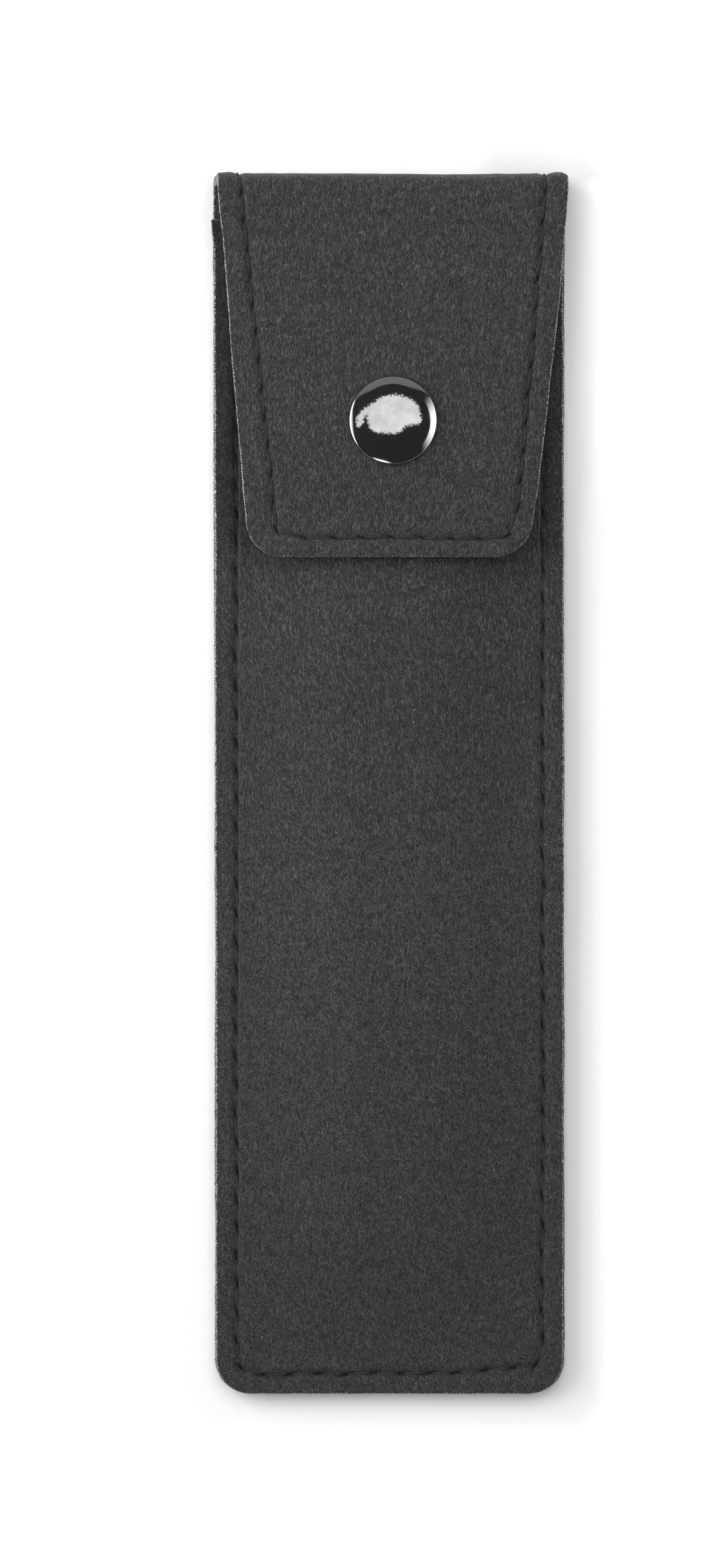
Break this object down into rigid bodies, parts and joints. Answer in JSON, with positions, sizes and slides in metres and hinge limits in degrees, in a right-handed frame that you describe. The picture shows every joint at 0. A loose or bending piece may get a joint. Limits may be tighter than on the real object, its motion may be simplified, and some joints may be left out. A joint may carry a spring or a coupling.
{
  "type": "felt pencil case",
  "caption": "Slim sewn felt pouch whose back folds over the mouth as a tapered, topstitched flap, closed by a domed press stud.",
  "frame": {"origin": "on the surface that the case lies on, under the middle of its width and of its length", "axes": "+X across the width, +Y along the length towards the fold, +Z out of the front, towards the flap and the press stud"},
  "size_m": [0.05, 0.1738, 0.0139],
  "materials": {
    "felt": "needle-punched felt, dark charcoal with lighter fibres",
    "thread": "spun polyester sewing thread, dark charcoal",
    "black_cap": "glossy black",
    "nickel": "nickel plate on pressed brass",
    "spring_steel": "drawn wire"
  },
  "bodies": {
    "case": {"back_panel": "felt", "front_panel": "felt", "seam_thread_front": "thread", "seam_thread_back": "thread", "snap_stud": "nickel", "stud_eyelet": "nickel"},
    "fold": {"fold_strip": "felt"},
    "cover": {"flap": "felt", "flap_thread_outer": "thread", "flap_thread_inner": "thread", "snap_cap": "black_cap", "snap_socket": "nickel", "socket_spring_left": "spring_steel", "socket_spring_right": "spring_steel"}
  },
  "joints": [
    {"name": "back_crease", "type": "hinge", "parent": "case", "child": "fold", "pos_m": [0, 0.08613, 0.00082], "axis": [-1, 0, 0], "range_deg": [0, 90]},
    {"name": "front_crease", "type": "hinge", "parent": "fold", "child": "cover", "pos_m": [0, 0.08613, 0.01088], "axis": [-1, 0, 0], "range_deg": [0, 90]}
  ]
}
